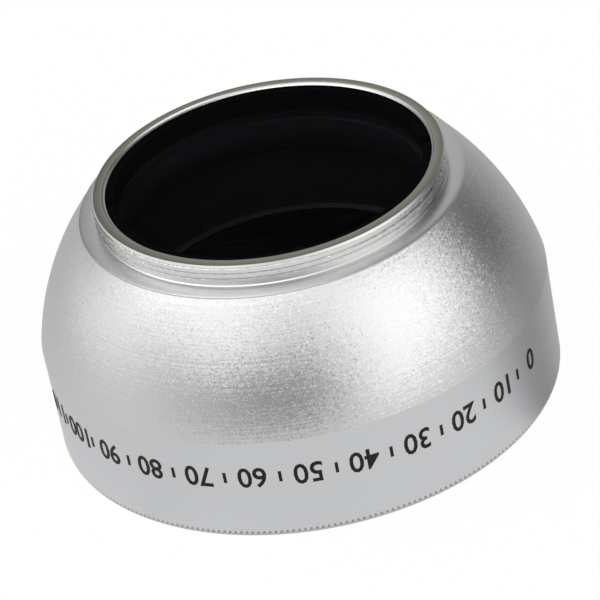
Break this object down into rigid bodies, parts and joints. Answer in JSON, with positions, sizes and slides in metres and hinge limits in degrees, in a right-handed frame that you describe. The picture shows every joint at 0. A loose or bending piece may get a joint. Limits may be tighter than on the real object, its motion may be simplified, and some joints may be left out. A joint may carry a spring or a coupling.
{
  "type": "wide-angle conversion lens",
  "caption": "Screw-on wide-angle conversion lens: silver bell-shaped barrel, finely serrated front rim, large front glass, black inner ring and a short male rear thread.",
  "frame": {"origin": "centre of the flat face of the front rim, which the lens stands on", "axes": "+Z along the optical axis, from the front rim up to the rear thread; +X and +Y across, the lens being round"},
  "size_m": [0.0444, 0.0444, 0.0222],
  "materials": {
    "bell_aluminium": "bead-blasted, silver anodised",
    "rim_aluminium": "turned and serrated, silver anodised",
    "mount_aluminium": "turned, silver anodised, blackened inside",
    "black_anodised": "matte black anodised",
    "black_plastic": "matte",
    "coated_glass": "polished, anti-reflection coated"
  },
  "bodies": {
    "root": {"barrel_shell": "bell_aluminium", "front_rim_ring": "rim_aluminium", "front_cushion_ring": "black_plastic", "front_element": "coated_glass", "baffle_tube": "black_anodised", "rear_mount_ring": "mount_aluminium", "rear_element": "coated_glass", "rear_retaining_ring": "black_anodised"}
  },
  "joints": []
}
